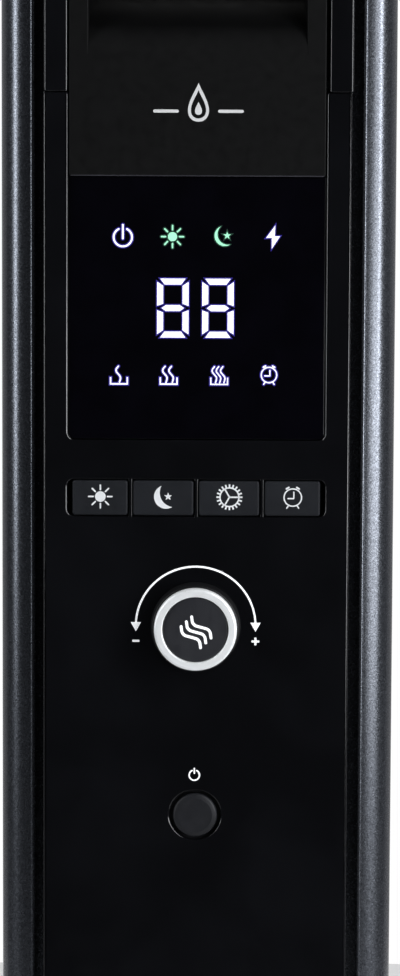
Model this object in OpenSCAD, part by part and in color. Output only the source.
// Oil-filled radiator heater with a narrow control end, a carry handle and four swivel castors.
// X runs across the fins, Y along the row of fins with the control end at -Y, and Z is up from the floor.
// The origin is on the floor, below the middle of the whole heater. A depth is a distance behind the
// face of the front panel, and grows towards +Y.

/* [Radiator core] */
// Distance between neighbouring fins
fin_pitch = 48; // [46:1:52]
// Width of the core across the side covers
core_w = 154; // [152:0.5:160]
// Height of each fin
fin_h = 572; // [572:1:576]
// Corner radius of each fin
fin_corner = 34; // [28:1:38]
// Thickness of the pressed steel sheet
sheet = 0.6; // [0.5:0.1:0.8]

/* [Control end] */
// Width of the front panel
panel_w = 117; // [114:1:118]
// Height of the front panel's bottom edge above the floor
panel_z = 90; // [88:1:92]
// Height of the seam between the front panel and the carry handle
seam_z = 552.2; // [551:0.2:555]
// Height of the top of the carry handle
handle_top = 640; // [638:1:644]
// How far the handle sits to the right of the panel's rails
handle_shift = 0.4; // [0:0.1:0.6]
// Width of the opening for the display window
window_w = 98.2; // [97:0.2:99]
// Height of the knob's axis
knob_z = 347.5; // [345:0.5:350]
// Diameter of the knob's skirt
knob_d = 34.6; // [32:0.2:36]
// Height of the power button's axis
power_z = 273.3; // [272:0.1:278]
// Diameter of the power button
power_d = 17; // [15:0.5:17]

/* [Feet] */
// Length of each foot, across the heater
foot_w = 240; // [230:2:250]
// Diameter of the castor wheels
wheel_d = 40; // [38:1:40]
// Distance from a castor's swivel axis to its wheel's axle
trail = 14; // [12:1:16]

/* [Hidden] */
$fn = 64;

// Depths behind the front panel's face
panel_t = 2.6;
tub_front = 2.9;
tub_back = 48;
tub_wall = 2.4;
board_depth = 12;
board_t = 1.6;
spine_t = 1.2;
spine_back = tub_back - tub_wall;
fin_depth = 61.5;
fin_count = 7;
cover_half = 21.5;
core_back = fin_depth + (fin_count - 1) * fin_pitch + cover_half;
knob_front = 10.3;

// The whole heater is centred on Y between the knob's front and the last cover's back edge
face_y = -(core_back - knob_front) / 2;

// Fins, headers and oil channels
fin_z = 60;
header_low = 126;
header_high = 578;
header_r = 30;
header_half = 9;
channel_x = 16;
channel_w = 24;
channel_half = 6;
collar_r = 18.5;
collar_bore = 17.5;
oil_gap = 0.1;
oil_level = 592;

// Side covers: a rolled edge, a slanted face, a round shoulder and a flat side
hem_x = core_w / 2 - 13.5;
cover_tilt = 16;
shoulder_r = 12.5;
hem_lip = 4;

// Front panel layout
window_low = 419.4;
window_high = 520.2;
window_gap = 0.35;
insert_gap = 0.3;
window_depth = 0.9;
window_t = 2.4;
row_low = 389.9;
row_high = 404.2;
row_w = 98.6;
button_gap = 0.45;
rib_w = 1.3;
rib_x = 25.2;
rib_gap = rib_w / 2 + button_gap;
button_end = 47.4;
button_travel = 0.8;
corner_r = 2.5;
tub_w = panel_w - 5;
boss_x = 49.3;
boss_rows = [108, 215, 411.5];
board_screw_low = [40, 372];
board_screw_high = [41, 511];
switch_screw_x = 13;
power_hole_r = power_d / 2 + 1.2;

// Display layout: the digits' middle, and the two rows of symbols
digit_z = 470.1;
digit_h = 22.8;
digits_w = 29.8;
symbol_rows = [[497.4, [-28.3, -9.4, 10.5, 28.9]], [444.1, [-29.7, -10.7, 8.6, 27.6]]];

// Insert, with a scoop for the fingers below the grip: its floor rounds over from the face
insert_w = 97.4;
scoop_x = 41.5;
scoop_back_x = 37.5;
scoop_low = 567;
scoop_r = 20;
scoop_end = 43.9;
scoop_wall = 2;
handle_gap = 0.6;
handle_screws = [560, 577];
tub_screws = [170, 500];
board_screws = [182, 298];
grip_depth = 22;
grip_h = 18;
handle_corner = 12;

// Heating element
element_tube_r = 4;
element_x = 9;
element_dz = 7;
element_end = fin_depth + (fin_count - 1) * fin_pitch - 10;
element_boss_r = 15;

// Feet and castors
foot_l = 52;
foot_top = fin_z;
foot_t = 3;
foot_skirt = 14;
castor_x = foot_w / 2 - 17;
stem_r = 4;
stem_gap = 0.05;
fork_top = foot_top - foot_skirt - 1.5;
fork_plate = 2.5;
axle_r = 2.5;
axle_gap = 0.05;
wheel_half = 8.5;
leg_in = 10;
leg_t = 2.5;
bolt_r = 3;
bolt_arc = collar_r + bolt_r + 0.1;

CASTORS = [[-1, 0], [1, 0], [-1, 1], [1, 1]];

function fin_y(i) = face_y + fin_depth + i * fin_pitch;
function foot_y(k) = fin_y(k == 0 ? 0.5 : fin_count - 1.5);

// ---------- shapes that repeat ----------

// A rounded rectangle, centred, in 2D
module rounded(w, h, r) {
    square([w - 2 * r, h], center = true);
    square([w, h - 2 * r], center = true);
    for (sx = [-1, 1], sz = [-1, 1])
        translate([sx * (w / 2 - r), sz * (h / 2 - r)]) circle(r);
}

// Extrudes a shape drawn in X and Z from one depth behind the panel's face to another
module along_depth(from, to)
    translate([0, face_y + to, 0]) rotate([90, 0, 0]) linear_extrude(to - from) children();

// A rod along Y, centred on x and z
module rod_y(x, z, r, from, to)
    translate([x, face_y + from, z]) rotate([-90, 0, 0]) cylinder(h = to - from, r = r);

// A box from low to high, with Y as a depth
module block(low, high)
    translate([low[0], face_y + low[1], low[2]]) cube(high - low);

// A straight wire between two points, with Y as a depth
module wire(a, b, r) {
    run = b - a;
    translate([a[0], face_y + a[1], a[2]])
        rotate([0, acos(run[2] / norm(run)), atan2(run[1], run[0])])
            cylinder(h = norm(run), r = r, $fn = 24);
}

// A pan-head screw along Y, with its head at the deeper end or the nearer end
module screw(x, z, tip, head, r = 1.3) {
    rod_y(x, z, r, min(tip, head), max(tip, head));
    if (head > tip) rod_y(x, z, r * 1.9, head, head + 1.6);
    else rod_y(x, z, r * 1.9, head - 1.6, head);
}

// ---------- radiator core ----------

// One oil channel's outline across X and Y, with round edges
module channel_outline(w, half) {
    square([w - 2 * half, 2 * half], center = true);
    for (sx = [-1, 1]) translate([sx * (w / 2 - half), 0]) circle(half);
}

// The pressed oil space of one fin, drawn smaller all round by the wall
module oil_space(wall) {
    for (sx = [-1, 1])
        translate([sx * channel_x, 0, header_low])
            linear_extrude(header_high - header_low)
                channel_outline(channel_w - 2 * wall, channel_half - wall);
    for (z = [header_low, header_high])
        translate([0, -(header_half - wall), z]) rotate([-90, 0, 0])
            cylinder(h = 2 * (header_half - wall), r = header_r - wall);
}

function cover_side(o, s) = [
    [hem_x + o, s * (cover_half - hem_lip)],
    [hem_x + o, s * (cover_half - o * (1 + sin(cover_tilt)) / cos(cover_tilt))],
    for (a = [90 - cover_tilt:-(90 - cover_tilt) / 6:0])
        [core_w / 2 - shoulder_r + (shoulder_r - o) * cos(a),
         s * (shoulder_y() + (shoulder_r - o) * sin(a))]
];
function shoulder_y() = cover_half
    - (core_w / 2 - shoulder_r + shoulder_r * sin(cover_tilt) - hem_x) * tan(cover_tilt)
    - shoulder_r * cos(cover_tilt);
function backwards(list) = [for (i = [len(list) - 1:-1:0]) list[i]];

// The outline of a fin's side cover, bent from one strip of sheet
module cover_outline() polygon(concat(
    cover_side(0, -1), backwards(cover_side(0, 1)), cover_side(sheet, 1), backwards(cover_side(sheet, -1))));

module side_cover()
    intersection() {
        translate([0, 0, fin_z]) linear_extrude(fin_h) cover_outline();
        translate([0, cover_half + 1, fin_z + fin_h / 2]) rotate([90, 0, 0])
            linear_extrude(2 * cover_half + 2) rounded(core_w, fin_h, fin_corner);
    }

// One fin: two pressed sheets welded into an oil chamber, with a cover rolled along each side
module fin(i) color("#17191d") {
    translate([0, fin_y(i), 0]) {
        difference() {
            union() {
                translate([0, sheet, fin_z + fin_h / 2]) rotate([90, 0, 0])
                    linear_extrude(2 * sheet) rounded(core_w - 2 * sheet - 0.02, fin_h, fin_corner);
                oil_space(0);
                if (i == 0) header_stud();
            }
            oil_space(sheet);
            for (z = [header_low, header_high]) {
                if (i > 0 || z == header_low)
                    translate([0, -header_half - 1, z]) rotate([-90, 0, 0])
                        cylinder(h = header_half, r = collar_bore);
                if (i < fin_count - 1)
                    translate([0, 1, z]) rotate([-90, 0, 0]) cylinder(h = header_half, r = collar_bore);
            }
            if (i == fin_count - 1)
                translate([0, 1, header_high]) rotate([-90, 0, 0]) cylinder(h = header_half, r = 6.1);
        }
        for (s = [0, 1]) mirror([s, 0, 0]) side_cover();
    }
}

// The threaded stud on the first fin, which carries the control end
module header_stud()
    translate([0, -header_half - 15, header_high]) rotate([-90, 0, 0]) cylinder(h = 15.2, r = 4);

module header_collars() color("#17191d")
    for (i = [0:fin_count - 2], z = [header_low, header_high])
        translate([0, fin_y(i) + header_half, z]) rotate([-90, 0, 0]) difference() {
            cylinder(h = fin_pitch - 2 * header_half, r = collar_r);
            translate([0, 0, -1]) cylinder(h = fin_pitch, r = collar_bore);
        }

module filler_plug() color("#8d9096") {
    back = fin_depth + (fin_count - 1) * fin_pitch + header_half;
    rod_y(0, header_high, 6, back - sheet, back);
    translate([0, face_y + back, header_high]) rotate([-90, 0, 0]) cylinder(h = 7, r = 8, $fn = 6);
}

module thermal_oil() color("#b98b35")
    difference() {
        intersection() {
            union() {
                for (i = [0:fin_count - 1]) translate([0, fin_y(i), 0]) oil_space(sheet + oil_gap);
                for (z = [header_low, header_high])
                    rod_y(0, z, collar_bore - oil_gap, fin_depth, fin_depth + (fin_count - 1) * fin_pitch);
            }
            block([-core_w, 0, fin_z], [core_w, core_back, oil_level]);
        }
        element_plug(oil_gap);
        element_tubes(element_tube_r + oil_gap);
    }

// ---------- heating element ----------

module element_tubes(r)
    for (dz = [-element_dz, element_dz]) {
        for (sx = [-1, 1]) rod_y(sx * element_x, header_low + dz, r, fin_depth - 4, element_end);
        translate([0, face_y + element_end, header_low + dz])
            rotate_extrude(angle = 180) translate([element_x, 0]) circle(r);
    }

module element_plug(gap)
    rod_y(0, header_low, collar_bore - 0.1, fin_depth - header_half, fin_depth - 3 + gap);

module heating_element() color("#b9bcc2") {
    union() {
        element_plug(0);
        rod_y(0, header_low, 24, tub_back, fin_depth - header_half - 1.2);
        rod_y(0, header_low, element_boss_r - 0.4, fin_depth - header_half - 2, fin_depth - header_half + 1);
        rod_y(0, header_low, element_boss_r, 36, tub_back + 1);
        element_tubes(element_tube_r);
        for (sx = [-1, 1], dz = [-element_dz, element_dz])
            rod_y(sx * element_x, header_low + dz, 1.6, 27, 37);
    }
}

module element_gasket() color("#3b3d40")
    difference() {
        rod_y(0, header_low, 24, fin_depth - header_half - 1.2, fin_depth - header_half);
        rod_y(0, header_low, collar_bore, fin_depth - header_half - 2, fin_depth);
    }

// ---------- control end: casings ----------

module panel_outline()
    difference() {
        translate([0, (panel_z + seam_z) / 2]) rounded(panel_w, seam_z - panel_z, 1.5);
        translate([-window_w / 2, window_low + corner_r]) square([window_w, seam_z]);
        translate([0, window_low + 10]) rounded(window_w, 20, corner_r);
        translate([0, (row_low + row_high) / 2]) rounded(row_w, row_high - row_low, corner_r);
        translate([0, knob_z]) circle(4);
        translate([0, power_z]) circle(power_hole_r);
    }

// Glossy front plate with a short skirt round its edge, bosses, and ribs between the buttons
module front_panel() color("#0b0c0e") {
    difference() {
        union() {
            along_depth(0, panel_t) panel_outline();
            along_depth(panel_t - 0.1, board_depth + 2) panel_skirt();
            for (x = [-rib_x, 0, rib_x])
                block([x - rib_w / 2, 0.3, row_low - 1], [x + rib_w / 2, panel_t, row_high + 1]);
            for (sx = [-1, 1]) {
                for (z = boss_rows) rod_y(sx * boss_x, z, 3.2, panel_t - 0.1, 16);
                rod_y(sx * board_screw_low[0], board_screw_low[1], 3, panel_t - 0.1, board_depth);
                rod_y(sx * switch_screw_x, power_z, 2.3, panel_t - 0.1, board_depth);
            }
        }
        for (sx = [-1, 1]) {
            for (z = boss_rows) rod_y(sx * boss_x, z, 1.35, panel_t + 3, 17);
            rod_y(sx * board_screw_low[0], board_screw_low[1], 1.25, panel_t + 2, board_depth + 1);
            rod_y(sx * switch_screw_x, power_z, 1.25, panel_t + 2, board_depth + 1);
        }
    }
}

module panel_skirt()
    difference() {
        translate([0, (panel_z + seam_z) / 2]) rounded(panel_w, seam_z - panel_z, 1.5);
        translate([-(tub_w + 0.4) / 2, panel_z + 2.2]) square([tub_w + 0.4, seam_z]);
    }

// Tub behind the panel, open at its front and top, with screw tubes, vents and the gland's hole
module rear_housing() color("#131417") {
    low = panel_z + 2.6;
    difference() {
        union() {
            difference() {
                block([-tub_w / 2, tub_front, low], [tub_w / 2, tub_back, seam_z - 0.4]);
                block([-tub_w / 2 + tub_wall, tub_front - 1, low + tub_wall],
                      [tub_w / 2 - tub_wall, tub_back - tub_wall, seam_z + 1]);
            }
            for (sx = [-1, 1], z = boss_rows) rod_y(sx * boss_x, z, 4.4, 16, tub_back - 1);
        }
        for (sx = [-1, 1], z = boss_rows) {
            rod_y(sx * boss_x, z, 1.5, 15, 30);
            rod_y(sx * boss_x, z, 2.9, 20, tub_back + 1);
        }
        for (sx = [-1, 1]) {
            for (z = tub_screws) rod_y(sx * 24, z, 1.25, 40, tub_back + 1);
            for (k = [0:5])
                block([sx * (22 + 5 * k) - 1.2, 12, low - 1], [sx * (22 + 5 * k) + 1.2, 40, low + tub_wall + 1]);
        }
        for (k = [0:7])
            block([-36, 40, 515 + 4 * k], [36, tub_back + 1, 517 + 4 * k]);
        rod_y(0, header_low, element_boss_r + 1, 40, tub_back + 1);
        translate([0, face_y + 27, low - 1]) cylinder(h = tub_wall + 2, r = 8.1);
    }
}

// Handle: two cheeks that carry on the panel's rails, a grip across the top and a wall behind
module carry_handle() color("#0b0c0e") {
    inner = window_w / 2 + handle_gap;
    cheek = panel_w / 2 + 0.2 - inner;
    difference() {
        translate([handle_shift, 0, 0]) {
            for (s = [0, 1]) mirror([s, 0, 0])
                translate([inner, face_y, 0]) rotate([90, 0, 90]) linear_extrude(cheek) cheek_outline();
            block([-inner - 1, 0.2, handle_top - grip_h], [inner + 1, grip_depth, handle_top - 6]);
            block([-inner - 1, 6, handle_top - 8], [inner + 1, grip_depth - 6, handle_top]);
            for (d = [6.2, grip_depth - 6]) translate([-inner - 1, face_y + d, handle_top - 6])
                rotate([0, 90, 0]) cylinder(h = 2 * inner + 2, r = 6);
            block([-inner - 1, tub_back - tub_wall, seam_z + 2], [inner + 1, tub_back, handle_top - 10]);
        }
        rod_y(0, header_high, 4.3, 40, tub_back + 1);
        for (sx = [-1, 1], z = handle_screws) rod_y(sx * 22, z, 1.2, 40, tub_back + 1);
    }
}

// A cheek's side view, as depth and height, with round upper corners
module cheek_outline() {
    r = handle_corner;
    translate([0, seam_z + 0.4]) square([tub_back, handle_top - seam_z - 0.4 - r]);
    translate([r, handle_top - r - 1]) square([tub_back - 2 * r, r + 1]);
    for (d = [r, tub_back - r]) translate([d, handle_top - r]) circle(r);
}

// The scoop's floor as depths and heights, moved inwards by a distance
function scoop_floor(inset) = concat(
    [for (a = [0:15:90]) [scoop_r - (scoop_r - inset) * cos(a), scoop_low + (scoop_r - inset) * sin(a)]],
    [[scoop_end, scoop_low + scoop_r - inset]]);

// Matt insert below the grip, with the finger scoop let into it
module scoop_insert() color("#1b1b1c") {
    low = window_high + insert_gap;
    top = handle_top - grip_h - 0.3;
    translate([-scoop_x - 1, face_y, 0]) rotate([90, 0, 90]) linear_extrude(2 * scoop_x + 2)
        polygon(concat([[0, low]], scoop_floor(0), backwards(scoop_floor(scoop_wall)), [[scoop_wall, low]]));
    for (s = [0, 1]) mirror([s, 0, 0]) {
        block([scoop_x, 0, low], [insert_w / 2, scoop_wall, top]);
        block([insert_w / 2 - scoop_wall, 0, low], [insert_w / 2, 12, top]);
        translate([0, face_y, scoop_low]) linear_extrude(top - scoop_low)
            polygon([[scoop_x, 0], [scoop_x + scoop_wall, 0], [scoop_back_x + scoop_wall, scoop_end],
                     [scoop_back_x, scoop_end]]);
    }
}

module display_window() color("#07070b")
    along_depth(window_depth, window_depth + window_t) {
        translate([-window_w / 2 + window_gap, window_low + window_gap + corner_r])
            square([window_w - 2 * window_gap, window_high - window_low - window_gap - corner_r]);
        translate([0, window_low + window_gap + 10]) rounded(window_w - 2 * window_gap, 20, corner_r - window_gap);
    }

// ---------- control end: display, buttons and knob ----------

module display_module() color("#2a2b30") {
    block([-digits_w / 2 - 1.5, 4.3, digit_z - digit_h / 2 - 1.5],
          [digits_w / 2 + 1.5, board_depth, digit_z + digit_h / 2 + 1.5]);
    for (s = [-1, 1])
        block([s * digits_w / 4 - 6.4, 4, digit_z - digit_h / 2],
              [s * digits_w / 4 + 6.4, 4.3, digit_z + digit_h / 2]);
}

// Block with a light cell behind each symbol and an opening for the digits
module light_guide() color("#e6e6e2")
    difference() {
        block([-46, 3.5, 426], [46, board_depth, 516]);
        block([-digits_w / 2 - 1.8, 3, digit_z - digit_h / 2 - 1.8],
              [digits_w / 2 + 1.8, board_depth + 1, digit_z + digit_h / 2 + 1.8]);
        for (row = symbol_rows, x = row[1]) rod_y(x, row[0], 6.2, 3, board_depth + 1);
        for (sx = [-1, 1]) rod_y(sx * board_screw_high[0], board_screw_high[1], 1.25, 6, board_depth + 1);
    }

module control_board() color("#1f5f3a")
    difference() {
        block([-44, board_depth, 333], [44, board_depth + board_t, 518]);
        for (sx = [-1, 1], at = [board_screw_low, board_screw_high])
            rod_y(sx * at[0], at[1], 1.5, board_depth - 1, board_depth + 3);
    }

function button_low(k) = [-button_end, -rib_x + rib_gap, rib_gap, rib_x + rib_gap][k];
function button_high(k) = [-rib_x - rib_gap, -rib_gap, rib_x - rib_gap, button_end][k];
function button_x(k) = (button_low(k) + button_high(k)) / 2;

// One rubber-coated key: a cap with round corners, a flange behind the panel and a stem
module button(k) color("#2c3035") {
    w = button_high(k) - button_low(k);
    h = row_high - row_low - 2 * button_gap;
    along_depth(-0.4, 3) translate([button_x(k), (row_low + row_high) / 2]) rounded(w, h, 1);
    block([button_low(k) - 0.4, 3, row_low - 1.5], [button_high(k) + 0.4, 4.2, row_high + 1.5]);
    rod_y(button_x(k), (row_low + row_high) / 2, 2, 4, board_depth - 3.6 - button_travel - 0.1);
}

module tact_switches() color("#3a3a3e")
    for (k = [0:3]) {
        z = (row_low + row_high) / 2;
        block([button_x(k) - 3, board_depth - 3, z - 3], [button_x(k) + 3, board_depth, z + 3]);
        rod_y(button_x(k), z, 1.7, board_depth - 3.6, board_depth - 3);
    }

module knob_skirt() color("#141518")
    difference() {
        rod_y(0, knob_z, knob_d / 2, -7, -0.9);
        rod_y(0, knob_z, 3.02, -6, 0);
    }

module knob_ring() color("#dfe3e5")
    difference() {
        rod_y(0, knob_z, knob_d / 2 - 1.4, -knob_front, -7);
        rod_y(0, knob_z, knob_d / 2 - 4.3, -knob_front - 1, -6);
    }

module knob_cap() color("#2c2d31") rod_y(0, knob_z, knob_d / 2 - 4.35, -knob_front + 0.7, -7);

module encoder_body() color("#9a9da1")
    difference() {
        union() {
            block([-6.5, 5, knob_z - 6.5], [6.5, board_depth, knob_z + 6.5]);
            rod_y(0, knob_z, 3.6, 0.6, 6);
        }
        rod_y(0, knob_z, 3.05, 0, 9.4);
        rod_y(0, knob_z, 2.05, 9, 11.2);
    }

module encoder_plunger() color("#d8d8d4") rod_y(0, knob_z, 1.95, 9.35, 10.2);

module encoder_shaft() color("#c9ccd0") rod_y(0, knob_z, 3, -6, 8.75);

module power_button() color("#26272b") {
    rod_y(0, power_z, power_d / 2, -0.9, 3);
    rod_y(0, power_z, power_hole_r + 0.4, 3.2, 4.6);
    rod_y(0, power_z, 2.6, 2.5, 16);
    rod_y(0, power_z, power_d / 2 - 1, 2.9, 3.3);
}

module power_switch() color("#2d2f36")
    difference() {
        union() {
            block([-7.5, board_depth, power_z - 7.5], [7.5, 31, power_z + 7.5]);
            block([-16, board_depth, power_z - 4], [16, board_depth + 2, power_z + 4]);
        }
        rod_y(0, power_z, 2.7, board_depth - 1, 19);
        for (sx = [-1, 1]) rod_y(sx * switch_screw_x, power_z, 1.5, board_depth - 1, board_depth + 3);
    }

// ---------- control end: power parts ----------

module spine_plate() color("#a4a8ad")
    difference() {
        union() {
            block([-31, spine_back - spine_t, 104], [31, spine_back, 586]);
            for (sx = [-1, 1], z = board_screws) rod_y(sx * 26, z, 2.5, 35.6, spine_back - spine_t);
        }
        rod_y(0, header_low, element_boss_r + 0.2, 40, spine_back + 1);
        rod_y(0, header_high, 4.2, 40, spine_back + 1);
        for (sx = [-1, 1]) {
            for (z = board_screws) rod_y(sx * 26, z, 1.3, 34, 42);
            for (z = tub_screws) rod_y(sx * 24, z, 1.3, 40, spine_back + 1);
            for (z = handle_screws) rod_y(sx * 22, z, 1.3, 40, spine_back + 1);
        }
    }

module power_board() color("#1f5f3a")
    difference() {
        block([-38, 34, 176], [38, 35.6, 304]);
        for (sx = [-1, 1], z = board_screws) rod_y(sx * 26, z, 1.5, 33, 37);
    }

module relays() color("#1d4f8f")
    for (sx = [-1, 1]) block([sx * 14 - 8, 18, 196], [sx * 14 + 8, 34, 216]);

module terminal_block() color("#3c8a4c")
    difference() {
        block([-14, 24, 179], [14, 34, 190]);
        for (x = [-9, -3, 3, 9]) translate([x, face_y + 29, 178]) cylinder(h = 8, r = 1.6);
    }

module tilt_switch() color("#e0dfd8") block([22, 20, 222], [34, 34, 238]);

module thermal_cutout() color("#b7b9bd") {
    rod_y(0, 160, 8, 39, spine_back - spine_t);
    for (sx = [-1, 1]) block([sx * 4 - 1.5, 32, 159.6], [sx * 4 + 1.5, 39, 160.4]);
}

module room_sensor() color("#cfd0cc") {
    block([34, 16, panel_z + 5], [42, 22, panel_z + 15]);
    rod_y(38, panel_z + 11, 1.6, 10, 16);
}

module cord_gland() color("#101113") {
    low = panel_z + 2.6;
    translate([0, face_y + 27, 0]) difference() {
        union() {
            translate([0, 0, low - 6]) cylinder(h = 6, r = 11);
            translate([0, 0, low - 1]) cylinder(h = tub_wall + 2, r = 8);
            translate([0, 0, low + tub_wall]) cylinder(h = 4, r = 10.5);
        }
        translate([0, 0, low - 7]) cylinder(h = 20, r = 3.9);
    }
}

// Straight runs of insulated wire: mains leads to the element, signal wires and the sensor's lead
module wiring_loom() color("#b33a2b") {
    for (x = [-9, 9]) {
        wire([x, 29, 165], [x, 29, 184], 1.1);
        wire([x, 29, 165.8], [x * 1.6, 25, 140], 1.1);
        wire([x * 1.6, 25.1, 140.6], [x, 25.7, 119.5], 1.1);
    }
    for (x = [-10, 10]) {
        wire([x, 32.8, 225], [x, 15.5, 345], 1);
        wire([x, 16.2, 344.6], [x, board_depth + board_t, 344.6], 1);
    }
    wire([38, 19, panel_z + 16], [30, 33, 175.5], 0.8);
}

module housing_screws() color("#c4c6c9")
    for (sx = [-1, 1]) {
        for (z = boss_rows) screw(sx * boss_x, z, 8, 20);
        for (z = tub_screws) screw(sx * 24, z, tub_back - 1, spine_back - spine_t, 1.2);
        for (z = handle_screws) screw(sx * 22, z, tub_back - 0.5, spine_back - spine_t, 1.15);
        for (z = board_screws) screw(sx * 26, z, 41, 34, 1.2);
        for (at = [board_screw_low, board_screw_high]) screw(sx * at[0], at[1], 7, board_depth + board_t, 1.2);
        screw(sx * switch_screw_x, power_z, 7, board_depth + 2, 1.2);
    }

// The nut on the element's neck, the nut on the stud and the stud's spacer
module mounting_nuts() color("#b8bbc0") {
    nut_face = spine_back - spine_t;
    difference() {
        translate([0, face_y + nut_face - 5, header_low]) rotate([-90, 0, 0]) cylinder(h = 5, r = 21, $fn = 6);
        rod_y(0, header_low, element_boss_r + 0.1, 30, 50);
    }
    difference() {
        translate([0, face_y + nut_face - 6.5, header_high]) rotate([-90, 0, 0])
            cylinder(h = 6.5, r = 7.5, $fn = 6);
        rod_y(0, header_high, 4.1, 30, 50);
    }
    difference() {
        rod_y(0, header_high, 8, tub_back, fin_depth - header_half);
        rod_y(0, header_high, 4.1, 40, 60);
    }
}

// ---------- feet and castors ----------

module foot_outline(inset) {
    square([foot_w - foot_l, foot_l - 2 * inset], center = true);
    for (sx = [-1, 1]) translate([sx * (foot_w - foot_l) / 2, 0]) circle(foot_l / 2 - inset);
}

// A channel foot: a plate with a skirt round it, a socket for each castor and holes for the U-bolt
module foot(k) color("#121315")
    translate([0, foot_y(k), 0])
        difference() {
            union() {
                difference() {
                    translate([0, 0, foot_top - foot_skirt]) linear_extrude(foot_skirt) foot_outline(0);
                    translate([0, 0, foot_top - foot_skirt - 1])
                        linear_extrude(foot_skirt + 1 - foot_t) foot_outline(foot_t);
                }
                for (sx = [-1, 1]) translate([sx * castor_x, 0, foot_top - foot_skirt])
                    cylinder(h = foot_skirt, r = 8);
            }
            for (sx = [-1, 1]) {
                translate([sx * castor_x, 0, foot_top - foot_skirt - 1])
                    cylinder(h = foot_skirt - 1, r = stem_r + stem_gap);
                translate([sx * bolt_arc, 0, foot_top - 10]) cylinder(h = 20, r = bolt_r + 0.3);
            }
        }

module u_bolts() color("#c9ccd1")
    for (k = [0, 1]) translate([0, foot_y(k), 0]) {
        translate([0, 0, header_low]) rotate([90, 0, 0]) rotate_extrude(angle = 180)
            translate([bolt_arc, 0]) circle(bolt_r);
        for (sx = [-1, 1]) translate([sx * bolt_arc, 0, foot_top - foot_skirt + 1])
            cylinder(h = header_low - foot_top + foot_skirt - 1, r = bolt_r);
    }

module wing_nuts() color("#c9ccd1")
    for (k = [0, 1], sx = [-1, 1]) translate([sx * bolt_arc, foot_y(k), foot_top - foot_t - 8])
        difference() {
            union() {
                cylinder(h = 8, r = 5.5);
                for (s = [-1, 1]) translate([s * 8.5 - 4.5, -1.2, -1]) cube([9, 2.4, 7]);
            }
            translate([0, 0, -2]) cylinder(h = 12, r = bolt_r + 0.05);
        }

// A fork cheek's side view, as trail and height
module fork_cheek()
    polygon([[-11, fork_top], [11, fork_top], [trail + 6, wheel_d / 2 + 3], [trail + 4.5, wheel_d / 2 - 5],
             [trail - 4.5, wheel_d / 2 - 5], [trail - 8, wheel_d / 2 + 1]]);

module castor_fork(k) color("#1a1b1e")
    translate([CASTORS[k][0] * castor_x, foot_y(CASTORS[k][1]), 0]) {
        difference() {
            union() {
                translate([0, 0, fork_top - fork_plate]) cylinder(h = fork_plate, r = 16);
                translate([0, 0, fork_top - 0.5]) cylinder(h = 1.5, r = 7);
                translate([0, 0, fork_top - 0.5]) cylinder(h = foot_skirt - 1, r = stem_r);
                for (x = [-leg_in - leg_t, leg_in])
                    translate([x, 0, 0]) rotate([90, 0, 90]) linear_extrude(leg_t) fork_cheek();
            }
            translate([-20, trail, wheel_d / 2]) rotate([0, 90, 0]) cylinder(h = 40, r = axle_r);
        }
    }

module castor_axle(k) color("#c9ccd1")
    translate([CASTORS[k][0] * castor_x, foot_y(CASTORS[k][1]) + trail, wheel_d / 2]) rotate([0, 90, 0]) {
        translate([0, 0, -leg_in - leg_t]) cylinder(h = 2 * (leg_in + leg_t), r = axle_r);
        for (x = [-leg_in - leg_t - 1.2, leg_in + leg_t]) translate([0, 0, x]) cylinder(h = 1.2, r = 3.8);
    }

// A wheel with chamfered tread edges, dished sides and a hub
module castor_wheel(k) color("#202124")
    translate([CASTORS[k][0] * castor_x, foot_y(CASTORS[k][1]) + trail, wheel_d / 2]) rotate([0, 90, 0])
        rotate_extrude() polygon([
            [axle_r + axle_gap, -leg_in + 0.5], [6.5, -leg_in + 0.5], [7, -wheel_half + 2.5],
            [wheel_d / 2 - 5, -wheel_half + 2], [wheel_d / 2 - 4, -wheel_half],
            [wheel_d / 2 - 1.5, -wheel_half], [wheel_d / 2, -wheel_half + 1.5],
            [wheel_d / 2, wheel_half - 1.5], [wheel_d / 2 - 1.5, wheel_half],
            [wheel_d / 2 - 4, wheel_half], [wheel_d / 2 - 5, wheel_half - 2],
            [7, wheel_half - 2.5], [6.5, leg_in - 0.5], [axle_r + axle_gap, leg_in - 0.5]]);

front_panel();
rear_housing();
carry_handle();
scoop_insert();
display_window();
display_module();
light_guide();
control_board();
button(0);  // button_day
button(1);  // button_night
button(2);  // button_settings
button(3);  // button_timer
tact_switches();
knob_skirt();
knob_ring();
knob_cap();
encoder_body();
encoder_plunger();
encoder_shaft();
power_button();
power_switch();
power_board();
relays();
terminal_block();
spine_plate();
cord_gland();
tilt_switch();
thermal_cutout();
room_sensor();
heating_element();
element_gasket();
wiring_loom();
housing_screws();
mounting_nuts();
header_collars();
filler_plug();
thermal_oil();
foot(0);  // foot_front
foot(1);  // foot_rear
u_bolts();
wing_nuts();
for (i = [1:fin_count]) fin(i - 1);
for (i = [1:4]) {
    castor_fork(i - 1);
    castor_axle(i - 1);
    castor_wheel(i - 1);
}
